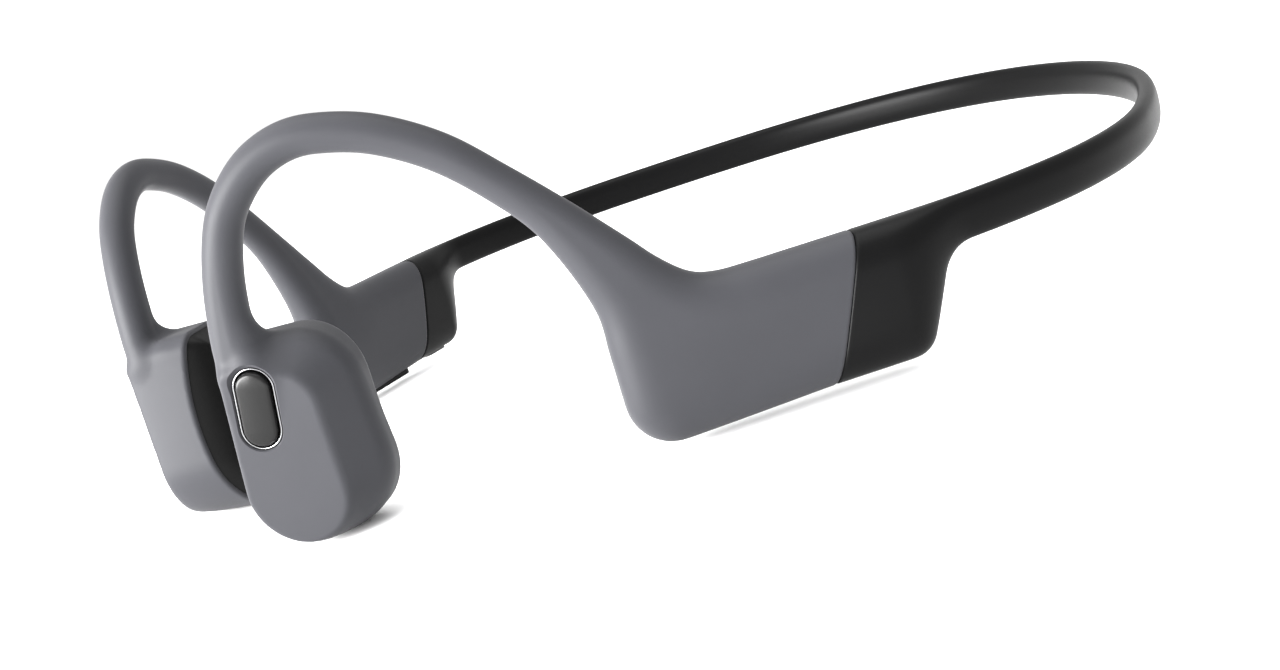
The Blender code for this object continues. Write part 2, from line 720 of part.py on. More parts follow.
def battery():
    cell = (CELL_LENGTH, CELL_HEIGHT, CELL_THICKNESS)
    board = (3.4, CELL_HEIGHT - 2, BOARD_THICKNESS)
    block("battery_cell", "cell_foil", CELL_AT, MIDDLE, cell, CELL_INNER, False)
    block("battery_protection_board", "board", CELL_REAR - 2.4, MIDDLE, board, 0.0, False)


def electronics():
    middle = BOARD_LOW + BOARD_TALL / 2
    face = BOARD_INNER + BOARD_THICKNESS + 0.1
    board = (CELL_LENGTH, BOARD_TALL, BOARD_THICKNESS)
    block("main_board", "board", CELL_AT, middle, board, BOARD_INNER, True)
    block("radio_shield_can", "bright_metal", CELL_AT + 4.0 * ALONG, middle, (8.0 * ALONG, 6.6, 1.2), face, True)
    block("memory_chip", "chip", CELL_AT - 4.4 * ALONG, middle, (4.6 * ALONG, 4.6, 0.8), face, True)
    block("antenna", "gold", CELL_REAR - 2.6, middle, (2.6, 6.0, 1.1), BOARD_INNER - 0.1, True)


def underside_place(s):
    """Frame under the housing: across points outward, up runs along the arm, depth points up into it."""
    heading = plan(s)[2]
    along = (math.cos(heading), -math.sin(heading), 0.0)
    return Place(on_arm(s, 0.0), normal_at(s), along, (0, 0, 1))


STRIP_AT = FRONT_EDGE - 13.0 * ALONG
STRIP_LONG = 16.0 * ALONG
STRIP_WIDE = 3.4
STRIP_LOW = HOUSING_BASE - FRONT_DROP / 2 - 0.3
SKIN_TOP = HOUSING_BASE + SKIN_WALL
CUT_LOW = -2.0
CUT_HIGH = SKIN_TOP + 1.4


def hole_below(target, name, place, outline):
    """Opening of one outline, cut up into the underside of a right-hand piece."""
    cut(target, prism(name, "frame_plastic", place, outline, (CUT_LOW, CUT_HIGH), True))


def volume_controls(skin):
    place = underside_place(STRIP_AT)
    hole_below(skin, "strip_slot", place, pill(STRIP_LONG + 2 * GAP, STRIP_WIDE + 2 * GAP))
    ends = (STRIP_LOW, SKIN_TOP)
    strip = prism("volume_strip", "black_skin", place, pill(STRIP_LONG, STRIP_WIDE), ends, True)
    face = STRIP_LOW - VOLUME_PROUD / 2
    top = SKIN_TOP + 0.4
    switch = top + VOLUME_TRAVEL + 0.1
    for name, shift in (("volume_up", VOLUME_LONG / 2 + 1.0), ("volume_down", -VOLUME_LONG / 2 - 1.0)):
        at = (0.0, shift)
        hole_below(strip, name + "_hole", place, pill(VOLUME_LONG + 2 * GAP, VOLUME_WIDE + 2 * GAP, at))
        rounding = [(-0.25, face), (0.0, face + 0.2), (0.0, top)]
        loops = [place.ring(pill(VOLUME_LONG + 2 * by, VOLUME_WIDE + 2 * by, at), d) for by, d in rounding]
        axis = place.point(*at, face) * np.array([-1, 1, 1])
        mesh_object(name + "_button", "button_gloss", loops, mirror=True, origin=axis)
        outline = rectangle(2.0, 3.0, at)
        prism(name + "_switch", "bright_metal", place, outline, (switch, switch + 0.8), True)


CHARGE_AT = REAR_EDGE + 9.0 * ALONG
CHARGE_LONG = 6.4 * ALONG
CHARGE_WIDE = 3.0
PIN_RADIUS = 0.55
PIN_APART = 2.8 * ALONG


def charging_port(cover):
    place = underside_place(CHARGE_AT)
    hole_below(cover, "charge_slot", place, pill(CHARGE_LONG + 2 * GAP, CHARGE_WIDE + 2 * GAP))
    low = HOUSING_BASE - 0.1
    top = SKIN_TOP + 0.5
    outline = pill(CHARGE_LONG, CHARGE_WIDE)
    insulator = prism("charging_port", "frame_plastic", place, outline, (low, top), True)
    for name, shift in (("front", PIN_APART / 2), ("rear", -PIN_APART / 2)):
        at = (0.0, shift)
        hole_below(insulator, "pin_hole_" + name, place, circle(PIN_RADIUS + 0.1, at, 12))
        pin = circle(PIN_RADIUS, at, 12)
        prism("charging_pin_" + name, "gold", place, pin, (low - 0.05, top + 0.6), True)
    magnet = top + 0.6 + GAP
    prism("charging_magnet", "magnet_nickel", place, rectangle(2.4, 4.6), (magnet, magnet + 1.2), True)


LIGHT_RADIUS = 0.45


def status_light(skin):
    place = underside_place(STRIP_AT - STRIP_LONG / 2 - 1.6 * ALONG)
    hole_below(skin, "light_hole", place, circle(LIGHT_RADIUS + 0.1, count=12))
    ends = (HOUSING_BASE + 0.05, SKIN_TOP + 0.6)
    prism("status_light_pipe", "clear_plastic", place, circle(LIGHT_RADIUS, count=12), ends, True)


def build():
    for old in list(bpy.data.objects):
        bpy.data.objects.remove(old)
    neckband()
    for side, mirror in (("left", False), ("right", True)):
        cover = rear_cover(side + "_rear_cover", mirror)
        skin = hook_skin(side + "_ear_hook_skin", mirror)
        hook_wires(side, mirror)
        housing_frame(side, mirror)
        place, shell = pod(side, mirror)
        if mirror:
            electronics()
            volume_controls(skin)
            charging_port(cover)
            status_light(skin)
        else:
            battery()
            multifunction_button(place, shell)


build()
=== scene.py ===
"""The finished look of the bone conduction headphones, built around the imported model.

Sizes are millimetres until a piece's mesh is made. Each moulded skin is one smooth field, negative inside,
that is meshed on a grid and then pulled onto its zero. A place on the left arm is (s, z, n): length along the
plan curve from the rear centre, height, and distance outward. A place in the left pod is (a, u, d): across,
up, and depth towards the head. The right side is the left side mirrored.
"""

import math
from functools import partial

import bmesh
import bpy
import numpy as np
from mathutils import Matrix, Vector
from mathutils.kdtree import KDTree


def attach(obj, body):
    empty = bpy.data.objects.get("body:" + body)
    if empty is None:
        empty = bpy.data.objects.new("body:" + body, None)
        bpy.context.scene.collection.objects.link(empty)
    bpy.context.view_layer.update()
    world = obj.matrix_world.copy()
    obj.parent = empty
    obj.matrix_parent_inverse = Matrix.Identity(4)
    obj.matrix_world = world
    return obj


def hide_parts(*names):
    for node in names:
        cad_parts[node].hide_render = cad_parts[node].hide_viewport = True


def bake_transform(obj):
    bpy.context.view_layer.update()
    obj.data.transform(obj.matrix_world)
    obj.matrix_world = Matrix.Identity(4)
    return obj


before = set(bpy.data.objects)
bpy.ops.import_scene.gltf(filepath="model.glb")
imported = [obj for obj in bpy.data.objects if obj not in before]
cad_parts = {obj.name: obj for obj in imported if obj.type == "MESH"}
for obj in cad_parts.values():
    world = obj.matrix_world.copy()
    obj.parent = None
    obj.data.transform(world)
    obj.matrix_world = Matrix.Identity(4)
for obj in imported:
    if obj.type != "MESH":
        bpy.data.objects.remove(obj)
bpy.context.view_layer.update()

MM = 0.001
TURN = 2 * math.pi
SIDES = (("left", False), ("right", True))

# Meshing: grid spacing, evening out of the points, pulling them onto the field's zero, and sharp edges
STEP = 0.28
RELAX_ROUNDS = 2
RELAX_SHARE = 0.6
SETTLE_ROUNDS = 4
SLOPE_STEP = 0.02
LEAST_SLOPE = 0.05
LONGEST_MOVE = 0.5 * STEP
SHARP_ANGLE = 38.0
CUT_TOLERANCE = 1e-5
# Rounding of a trimmed rim: (distance back from the cut, how far the skin is drawn in there)
EDGE_STEPS = [(0.0, 0.14), (0.1, 0.05), (0.24, 0.0)]

# The arm, with the CAD's sizes
REAR_Y = 75.61
PLAN_ARCS = [
    (50.0, 48.0), (25.0, 15.0), (25.0, 31.0), (25.0, 22.5), (28.0, 2.5), (22.0, 7.0), (45.0, 26.0),
]
BAND_HALF_LENGTH = 113.0
BAND_HEIGHT = 5.4
BAND_THICKNESS = 2.7
BAND_RISE = 2.2
BAND_LEVEL_FROM = BAND_HALF_LENGTH - 12.0
HOUSING_BASE = 1.7
FRONT_DROP = 0.7
HOUSING_HEIGHT = 16.4
HOUSING_THICKNESS = 8.0
REAR_EDGE = BAND_HALF_LENGTH + 5.8
REAR_TOP = REAR_EDGE - 2.2
REAR_FOOT = REAR_EDGE + 3.0
FRONT_EDGE = REAR_EDGE + 38.5
SPLIT_AT = REAR_EDGE + 8.6
SPLIT_SLANT = 6.4
REAR_CORNER = 3.4
REAR_FILLET = 4.6
FRONT_CORNER = 5.4
TOP = HOUSING_BASE + HOUSING_HEIGHT
BAND_LOW = TOP - BAND_HEIGHT
HOUSING_MIDDLE = HOUSING_BASE + HOUSING_HEIGHT / 2
# The concave run from the housing's top to the hook, measured from (FRONT_EDGE, TOP)
NOTCH = [(-17.2, 0.0), (-14.0, 0.15), (-11.2, 1.0), (-8.3, 3.5), (-5.6, 6.7)]
# The front edge's run up to the hook, measured likewise
FRONT_RUN = [(0.0, -5.6), (0.2, 0.4)]
HOOK_DIAMETER = 4.4
HOOK_START = FRONT_EDGE + 1.5
HOOK_RISE = 27.2
HOOK_SPAN = 38.6
# The hook's centreline, as shares of its span and rise: it runs on into the pod
HOOK_LINE = [
    (0.00, 0.40), (0.115, 0.595), (0.255, 0.79), (0.415, 0.93), (0.56, 0.993), (0.66, 1.0),
    (0.76, 0.955), (0.845, 0.865), (0.912, 0.742), (0.965, 0.53), (0.992, 0.28), (0.992, 0.12),
    (0.992, -0.02),
]
HOOK_ROOT = 1.18
HOOK_FLARE = 0.48

# The arm's section: how it changes from band to housing to hook
CROWN = 0.7
BAND_FADES = (BAND_HALF_LENGTH + 0.3, REAR_EDGE + 5.5)
HOOK_SLOPE = 1.1
SLOPE_LENGTH = 1.49
HOOK_GROWS = (-2.0, 23.0)
EDGE_REACH = 5.0
HOUSING_POWER = 2.6
HOOK_POWER_LOSS = 0.6

# The pod: its place and full outline are the CAD's, and its face has a finer outline
POD_ANGLE = 45.0
POD_ACROSS = 18.2
POD_TALL = 25.1
POD_LEAN = 3.2
POD_TILT = 3.5
POD_LEFT = -3.3
POD_WALL = 1.1
FACE_AT = -2.4
FACE_DEPTH = 4.6
PAD_FACE = FACE_AT + 13.4
FULL_CORNERS = [
    (POD_LEFT - POD_LEAN, 0.0, 7.8), (POD_LEFT - POD_LEAN + POD_ACROSS + 0.2, 0.0, 8.9),
    (POD_LEFT - POD_LEAN + POD_ACROSS - 0.3, POD_TALL, 7.4), (POD_LEFT, POD_TALL, 2.2),
]
FACE_CORNERS = [(-6.0, 0.7, 6.4), (7.0, 0.9, 5.6), (7.4, 20.6, 4.8), (-3.0, 23.1, 1.5)]

# The pod's surfaces: roundings, the bowed split between shell and pad, and the pad's draught
CREASE = 0.6
FACE_ROUND = 1.2
SLOPE_EASE = 0.3
SPLIT_MIDDLE = FACE_AT + 6.0
SPLIT_BULGE = 2.5
TUCK = 1.5
SHELL_TUCK_ROUND = 0.6
PAD_TUCK_ROUND = 0.4
PAD_REACH = 6.0
PAD_POWER = 2.3
PAD_INSET = 0.12
PAD_DRAUGHT = 0.22
PAD_NECK = 0.8
NECK_BEHIND = (0.2, 1.0)

# Where the hook runs into the pod
POD_NEAR_S = HOOK_START + 14
POD_NEAR_Z = POD_TALL + 12
JOIN_TIGHT = 1.2
JOIN_SOFTENS = 2.8
SOFTENS_ACROSS = (-1.5, 2.5)
HOOK_SINK = 1.7
SINK_FROM = POD_TALL - 2.0
SINK_OVER = 6.0

# The seam between grey and black skins
SPLIT = (SPLIT_AT, TOP)
SPLIT_NORMAL = (TOP - HOUSING_BASE, SPLIT_SLANT)
SEAM = 0.05

# Boxes that hold the skins, lowest and highest place in each one's own coordinates
GREY_BOX = (
    (SPLIT_AT - 2.0, -0.8, -16.0),
    (HOOK_START + HOOK_SPAN + 19.0, TOP + HOOK_RISE + 3.2, 17.0),
)
BLACK_BOX = (
    (-2.0, -0.8, -HOUSING_THICKNESS / 2 - 0.8),
    (SPLIT_AT + SPLIT_SLANT + 2.0, TOP + BAND_RISE + 1.0, HOUSING_THICKNESS / 2 + 0.8),
)
PAD_BOX = (
    (POD_LEFT - POD_LEAN - 2.0, -1.0, SPLIT_MIDDLE - 3.0),
    (POD_LEFT - POD_LEAN + POD_ACROSS + 2.0, POD_TALL + 1.0, PAD_FACE + 1.0),
)

# A cap's dome: how many rings it has, and the half width of the smallest
DOME_RINGS = 8
DOME_MIDDLE = 0.05

# The multifunction button and its ring
BUTTON_LONG = 8.4
BUTTON_WIDE = 3.6
BUTTON_AT = (0.4, 17.9)
BUTTON_LEAN = 10.0
BUTTON_GROWN = 0.2
BUTTON_FACE = FACE_AT - 0.4
BUTTON_BACK = FACE_AT + POD_WALL + 0.2
BUTTON_ROUND = 0.45
BUTTON_CROWN = 0.12
BUTTON_HOLE_BACK = FACE_AT + POD_WALL + 1.0
RECESS = 0.74
CHAMFER = 0.15
# The ring's closed section: (distance outside the button, depth behind the pod's face)
RING_SECTION = [
    (0.66, POD_WALL + 0.3), (0.66, 0.26), (0.62, 0.17), (0.53, 0.13), (0.44, 0.17), (0.40, 0.26),
    (0.40, POD_WALL + 0.3),
]

# The pieces under the housings
GAP = 0.3
SKIN_TOP = HOUSING_BASE + 1.0
POCKET_TOP = SKIN_TOP + 1.4
STRIP_AT = FRONT_EDGE - 13.0
STRIP_LONG = 16.0
STRIP_WIDE = 3.4
STRIP_SKIN = HOUSING_BASE - FRONT_DROP / 2 - 0.1
STRIP_LOW = HOUSING_BASE - FRONT_DROP / 2 - 0.3
VOLUME_LONG = 5.4
VOLUME_WIDE = 2.2
VOLUME_FACE = STRIP_LOW - 0.145
VOLUME_BACK = SKIN_TOP + 0.4
VOLUME_ROUND = 0.3
VOLUME_CROWN = 0.07
VOLUME_APART = 1.0
CHARGE_AT = REAR_EDGE + 9.0
CHARGE_LONG = 6.4
CHARGE_WIDE = 3.0
LIGHT_AT = STRIP_AT - STRIP_LONG / 2 - 1.6
LIGHT_LONG = 1.12
LIGHT_WIDE = 1.1

# The stretch either side of the flex hinge, and a height on it: its two ends are worked out, but nothing is
# bent over it
BEND_HALF = 10
BEND_AT_Z = 15


# ---------------------------------------------------------------- curves

def plan(s):
    """x, y and heading on the plan curve, for an array of lengths."""
    left = np.array(s, float)
    x = np.zeros_like(left)
    y = np.full_like(left, REAR_Y)
    heading = np.zeros_like(left)
    for i, (length, turn) in enumerate(PLAN_ARCS):
        run = left if i == len(PLAN_ARCS) - 1 else np.minimum(left, length)
        bend = math.radians(turn) / length
        x += (np.sin(heading + bend * run) - np.sin(heading)) / bend
        y += (np.cos(heading + bend * run) - np.cos(heading)) / bend
        heading = heading + bend * run
        left = left - run
    return x, y, heading


def from_arm(points):
    """Frame coordinates of points given as (s, z, n)."""
    s, z, n = np.moveaxis(np.asarray(points, float), -1, 0)
    x, y, heading = plan(s)
    return np.stack([x + n * np.sin(heading), y + n * np.cos(heading), z], -1)


def by_index(values, t):
    """Smooth value between control values one step apart."""
    values = np.asarray(values, float)
    i = min(int(t), len(values) - 2)
    f = t - i
    before = values[max(i - 1, 0)]
    a = values[i]
    b = values[i + 1]
    after = values[min(i + 2, len(values) - 1)]
    bend = before - 2.5 * a + 2 * b - after / 2
    return a + f * (b - before) / 2 + f * f * bend + f**3 * (1.5 * (a - b) + (after - before) / 2)


def smooth_run(points, per_step=12):
    """Points along a smooth curve through control points."""
    stops = np.arange(0, len(points) - 1, 1 / per_step)
    return [by_index(points, t) for t in stops] + [np.asarray(points[-1], float)]


def arc(centre, radius, begin, end, count=12):
    """Points on an arc between two angles in degrees."""
    angles = np.radians(np.linspace(begin, end, count))
    return [np.asarray(centre) + radius * np.array([math.cos(t), math.sin(t)]) for t in angles]


def rounded_polygon(corners, per_corner=16):
    """Closed outline of straight runs and corner arcs: corners are (x, y, radius), anticlockwise."""
    out = []
    n = len(corners)
    for i, (x, y, radius) in enumerate(corners):
        here = np.array([x, y])
        back = np.array(corners[i - 1][:2]) - here
        ahead = np.array(corners[(i + 1) % n][:2]) - here
        back /= np.linalg.norm(back)
        ahead /= np.linalg.norm(ahead)
        half = math.acos(float(np.clip(back @ ahead, -1, 1))) / 2
        middle = (back + ahead) / np.linalg.norm(back + ahead)
        centre = here + middle * radius / math.sin(half)
        first = here + back * radius / math.tan(half) - centre
        last = here + ahead * radius / math.tan(half) - centre
        begin = math.degrees(math.atan2(first[1], first[0]))
        sweep = (math.degrees(math.atan2(last[1], last[0])) - begin + 180) % 360 - 180
        out += arc(centre, radius, begin, begin + sweep, per_corner)
    return out


class Outline:
    """A smooth closed outline, anticlockwise, with a signed distance that is negative inside."""

    def __init__(self, points, softness=0.5, spacing=0.1, cell=0.25, margin=16.0):
        points = np.asarray(points, float)
        closed = np.vstack([points, points[:1]])
        steps = np.linalg.norm(np.diff(closed, axis=0), axis=1)
        at = np.concatenate([[0.0], np.cumsum(steps)])
        count = int(at[-1] / spacing)
        wanted = np.arange(count) * at[-1] / count
        even = np.stack([np.interp(wanted, at, closed[:, k]) for k in range(2)], -1)
        wave = np.fft.fftfreq(count, spacing)
        weight = np.exp(-2 * (math.pi * wave * softness) ** 2)
        self.points = np.fft.ifft(np.fft.fft(even, axis=0) * weight[:, None], axis=0).real
        along = np.roll(self.points, -1, axis=0) - np.roll(self.points, 1, axis=0)
        along /= np.linalg.norm(along, axis=1)[:, None]
        self.normals = np.stack([along[:, 1], -along[:, 0]], -1)
        self.tree = KDTree(count)
        for i, (x, y) in enumerate(self.points.tolist()):
            self.tree.insert((x, y, 0.0), i)
        self.tree.balance()
        self.cell = cell
        self.low = self.points.min(0) - margin
        size = ((self.points.max(0) + margin - self.low) / cell).astype(int) + 1
        grid = np.stack(np.meshgrid(*[np.arange(n) * cell for n in size], indexing="ij"), -1) + self.low
        self.table = self.exact(grid.reshape(-1, 2)).reshape(size)

    def exact(self, places):
        """Distance to the nearest point of the outline, along its normal."""
        nearest = [self.tree.find((x, y, 0.0))[1] for x, y in places.tolist()]
        return ((places - self.points[nearest]) * self.normals[nearest]).sum(-1)

    def distance(self, x, y):
        """Distance read from the table with a smooth weight on the sixteen values around."""
        x, y = np.broadcast_arrays(x, y)
        total = np.zeros(x.shape)
        at = [(value - low) / self.cell for value, low in zip((x, y), self.low)]
        base = [np.clip(np.floor(v).astype(int), 1, n - 3) for v, n in zip(at, self.table.shape)]
        weights = [cubic_weights(np.clip(v - b, 0.0, 1.0)) for v, b in zip(at, base)]
        for i, across in enumerate(weights[0]):
            for j, up in enumerate(weights[1]):
                total += across * up * self.table[base[0] + i - 1, base[1] + j - 1]
        return total


def cubic_weights(f):
    """Weights of four neighbours for a smooth value at f between the middle two."""
    return (
        0.5 * f * (-1 + f * (2 - f)), 1 + 0.5 * f * f * (3 * f - 5),
        0.5 * f * (1 + f * (4 - 3 * f)), 0.5 * f * f * (f - 1),
    )


def ramp(value, low, high):
    """0 below low, 1 above high, and smooth between."""
    f = np.clip((value - low) / (high - low), 0.0, 1.0)
    return f * f * (3 - 2 * f)


def smooth_min(a, b, width):
    """The smaller of two fields, blended where they differ by less than width."""
    f = np.clip(0.5 + 0.5 * (b - a) / width, 0.0, 1.0)
    return b + (a - b) * f - width * f * (1 - f)


def smooth_max(a, b, width):
    """The larger of two fields, blended in the same way."""
    return -smooth_min(-a, -b, width)


# ---------------------------------------------------------------- the arm's field

def band_height(s):
    """The band rises a little towards the rear centre."""
    f = ramp(np.abs(s), 0.0, BAND_LEVEL_FROM)
    return TOP - BAND_HEIGHT / 2 + BAND_RISE * (1 - f)


def hook_rails():
    """Upper and lower rail beside the hook's centreline, in (s, z)."""
    centres = [np.array([HOOK_START + HOOK_SPAN * f, TOP + HOOK_RISE * r]) for f, r in HOOK_LINE]
    last = len(centres) - 1
    uppers = []
    lowers = []
    for i, centre in enumerate(centres):
        along = centres[min(i + 1, last)] - centres[max(i - 1, 0)]
        if i == last:
            along = np.array([0.0, -1.0])
        along /= np.linalg.norm(along)
        side = np.array([-along[1], along[0]]) * HOOK_DIAMETER / 2
        if i == 0:
            side *= HOOK_ROOT
        uppers.append(centre + side * (1 + HOOK_FLARE * ramp(i, last - 4, last - 1)))
        lowers.append(centre - side)
    return uppers, lowers


def arm_outline():
    """Side view of the left half: band, housing and hook, in (s, z)."""
    # The outline runs past the rear centre, where the skin is cut
    beyond = -8.0
    band = np.linspace(beyond, BAND_HALF_LENGTH, 80)
    upper = [np.array([s, band_height(s) + BAND_HEIGHT / 2]) for s in band]
    hook_upper, hook_lower = hook_rails()
    flat = [(SPLIT_AT + step, TOP) for step in (0.0, 3.4, 7.0)]
    notch = [(FRONT_EDGE + s, TOP + z) for s, z in NOTCH]
    upper += smooth_run([*flat, *notch, *hook_upper])
    front_base = HOUSING_BASE - FRONT_DROP
    front = [(FRONT_EDGE + s, TOP + z) for s, z in FRONT_RUN]
    lower = smooth_run([(FRONT_EDGE, front_base + FRONT_CORNER), *front, *hook_lower])[::-1]
    lower += arc((FRONT_EDGE - FRONT_CORNER, front_base + FRONT_CORNER), FRONT_CORNER, 0, -90)
    lower += [np.array([SPLIT_AT + SPLIT_SLANT, HOUSING_BASE])]
    rear_top = np.array([REAR_TOP, BAND_LOW])
    rear_low = np.array([REAR_FOOT, HOUSING_BASE])
    fall = rear_low - rear_top
    drop = math.atan2(-fall[1], fall[0])
    centre = rear_low + np.array([REAR_CORNER * math.tan(drop / 2), REAR_CORNER])
    lower += arc(centre, REAR_CORNER, -90, -90 - math.degrees(drop))
    centre = rear_top + np.array([-REAR_FILLET * math.tan(drop / 2), -REAR_FILLET])
    lower += arc(centre, REAR_FILLET, 90 - math.degrees(drop), 90)
    lower += [np.array([s, band_height(s) - BAND_HEIGHT / 2]) for s in band[::-1]]
    return (upper + lower)[::-1]


ARM = Outline(arm_outline())


def arm_shape(s, z):
    """At places in the side view: distance inside the outline, half thickness, edge reach and power."""
    inside = -ARM.distance(s, z)
    climb = (z + HOOK_SLOPE * (s - FRONT_EDGE)) / SLOPE_LENGTH
    hook = ramp(climb, *HOOK_GROWS)
    band = 1 - ramp(s, *BAND_FADES)
    box = (1 - hook) * (1 - band)
    crown = CROWN * ((z - HOUSING_MIDDLE) / HOUSING_MIDDLE) ** 2
    half = HOUSING_THICKNESS / 2 - crown * box
    half = half + (HOOK_DIAMETER / 2 - half) * hook
    half = half + (BAND_THICKNESS / 2 - half) * band
    reach = EDGE_REACH + (HOOK_DIAMETER / 2 - EDGE_REACH) * hook
    reach = reach + (BAND_HEIGHT / 2 - reach) * band
    power = HOUSING_POWER - HOOK_POWER_LOSS * hook
    return inside, half, reach, power


def arm_value(shape, n):
    """Field of the arm: a rounded section between its two faces, of the shape given at each place."""
    inside, half, reach, power = shape
    edge = np.maximum(reach - inside, 0.0) / reach
    side = np.abs(n) / half
    return ((edge**power + side**power) ** (1 / power) - 1) * np.minimum(half, reach)


def black_value(points):
    """Band and rear of the housing as one body, at (s, z, n)."""
    s, z, n = np.moveaxis(points, -1, 0)
    return arm_value(arm_shape(s, z), n)


# ---------------------------------------------------------------- the pod's field

class Place:
    """A local frame on the left side: across, up and depth directions from an origin."""

    def __init__(self, origin, across, up, depth):
        self.origin = np.asarray(origin, float)
        self.across = np.asarray(across, float)
        self.up = np.asarray(up, float)
        self.depth = np.asarray(depth, float)
        self.inverse = np.linalg.inv(np.stack([self.across, self.up, self.depth]))

    def out(self, local):
        """Frame coordinates of local points."""
        return self.origin + np.asarray(local, float) @ np.stack([self.across, self.up, self.depth])

    def into(self, points):
        """Local points of frame coordinates."""
        return (np.asarray(points, float) - self.origin) @ self.inverse


def pod_place():
    """The pod's frame: under the hook's end, turned to the head and tilted."""
    turn = math.radians(POD_ANGLE)
    depth = np.array([-math.sin(turn), math.cos(turn), 0.0])
    lean = math.tan(math.radians(POD_TILT))
    end = HOOK_START + HOOK_SPAN * HOOK_LINE[-1][0]
    origin = from_arm([end, 0.0, 0.0]) + depth * lean * POD_TALL
    across = (math.cos(turn), math.sin(turn), 0.0)
    up = np.array([0.0, 0.0, 1.0]) - depth * lean
    return Place(origin, across, up, depth)


POD = pod_place()
FULL = Outline(rounded_polygon(FULL_CORNERS))
FACE = Outline(rounded_polygon(FACE_CORNERS), softness=0.3)


def split_depth(u):
    """Depth at which the grey shell ends and the black pad begins."""
    middle = POD_TALL / 2
    return SPLIT_MIDDLE + SPLIT_BULGE * ((u - middle) / middle) ** 2


def shell_value(local):
    """Grey shell: a flat face, a slope from its crease to the full outline, and the side wall."""
    a, u, d = np.moveaxis(local, -1, 0)
    full = FULL.distance(a, u)
    beyond = smooth_max(FACE.distance(a, u), 0.0, CREASE)
    border = np.maximum(-full, 0.0)
    width = border + beyond + SLOPE_EASE
    front = (FACE_AT + FACE_DEPTH * beyond / width - d) / np.sqrt(1 + (FACE_DEPTH / width) ** 2)
    body = smooth_max(front, full, FACE_ROUND)
    return smooth_max(body, d - split_depth(u) - TUCK, SHELL_TUCK_ROUND)


def pad_value(local):
    """Black contact pad: the outline drawn in towards a flat rounded face."""
    a, u, d = np.moveaxis(local, -1, 0)
    start = split_depth(u)
    neck = PAD_NECK * ramp(start - d, *NECK_BEHIND)
    inside = -FULL.distance(a, u) - PAD_INSET - PAD_DRAUGHT * np.maximum(d - start, 0.0) - neck
    edge = np.maximum(PAD_REACH - inside, 0.0) / PAD_REACH
    side = np.maximum(d - start, 0.0) / (PAD_FACE - start)
    body = ((edge**PAD_POWER + side**PAD_POWER) ** (1 / PAD_POWER) - 1) * PAD_REACH
    return smooth_max(body, start - TUCK - d, PAD_TUCK_ROUND)


def grey_value(points):
    """Housing front, hook and pod shell as one soft body, at (s, z, n)."""
    out = black_value(points)
    s, z = np.moveaxis(points, -1, 0)[:2]
    near = (s > POD_NEAR_S) & (z < POD_NEAR_Z)
    local = POD.into(from_arm(points[near]))
    width = JOIN_TIGHT + JOIN_SOFTENS * ramp(local[:, 0], *SOFTENS_ACROSS)
    sunk = out[near] + HOOK_SINK * ramp(SINK_FROM - z[near], 0.0, SINK_OVER)
    out[near] = smooth_min(sunk, shell_value(local), width)
    return out


# ---------------------------------------------------------------- from fields to meshes

def surface_net(values):
    """Points, in grid steps, and quads of the zero surface: one point in each cell that it crosses."""
    inside = values < 0
    cells = tuple(n - 1 for n in values.shape)
    total = np.zeros((*cells, 3))
    count = np.zeros(cells)
    for axis in range(3):
        b, c = (axis + 1) % 3, (axis + 2) % 3
        for i in (0, 1):
            for j in (0, 1):
                low = [slice(None, -1)] * 3
                low[b] = slice(i, i + cells[b])
                low[c] = slice(j, j + cells[c])
                high = list(low)
                high[axis] = slice(1, None)
                first = values[tuple(low)]
                second = values[tuple(high)]
                crossed = (first < 0) != (second < 0)
                share = np.where(crossed, first / np.where(crossed, first - second, 1.0), 0.0)
                total[..., axis] += share
                total[..., b] += crossed * i
                total[..., c] += crossed * j
                count += crossed
    active = count > 0
    index = np.full(cells, -1)
    index[active] = np.arange(active.sum())
    points = np.argwhere(active) + total[active] / count[active][:, None]
    quads = []
    for axis in range(3):
        b, c = (axis + 1) % 3, (axis + 2) % 3
        low = [slice(1, -1)] * 3
        low[axis] = slice(None, -1)
        high = list(low)
        high[axis] = slice(1, None)
        first = inside[tuple(low)]
        crossed = np.argwhere(first != inside[tuple(high)])
        shift = np.ones(3, int)
        shift[axis] = 0
        at = crossed + shift
        ring = []
        for i, j in ((1, 1), (0, 1), (0, 0), (1, 0)):
            cell = at.copy()
            cell[:, b] -= i
            cell[:, c] -= j
            ring.append(index[tuple(cell.T)])
        quad = np.stack(ring, -1)
        outward = first[tuple(crossed.T)]
        quads.append(np.where(outward[:, None], quad, quad[:, ::-1]))
    return points, np.concatenate(quads)


def relax(points, quads, rounds):
    """Points evened out towards the middle of their neighbours."""
    for _ in range(rounds):
        total = np.zeros_like(points)
        count = np.zeros(len(points))
        for k in range(4):
            for other in (1, 3):
                np.add.at(total, quads[:, k], points[quads[:, (k + other) % 4]])
                np.add.at(count, quads[:, k], 1.0)
        points = points + RELAX_SHARE * (total / np.maximum(count, 1)[:, None] - points)
    return points


def settle(points, value, rounds):
    """Points moved along the field's slope onto its zero."""
    for _ in range(rounds):
        here = value(points)
        ahead = [value(points + SLOPE_STEP * axis) for axis in np.eye(3)]
        slope = np.stack([(there - here) / SLOPE_STEP for there in ahead], -1)
        move = -(here / np.maximum((slope**2).sum(-1), LEAST_SLOPE))[:, None] * slope
        size = np.linalg.norm(move, axis=1)
        move *= np.minimum(1.0, LONGEST_MOVE / np.maximum(size, 1e-9))[:, None]
        points = points + move
    return points


def grid_of(axes):
    """Every place of a grid, from its three axes."""
    return np.stack(np.meshgrid(*axes, indexing="ij"), -1)


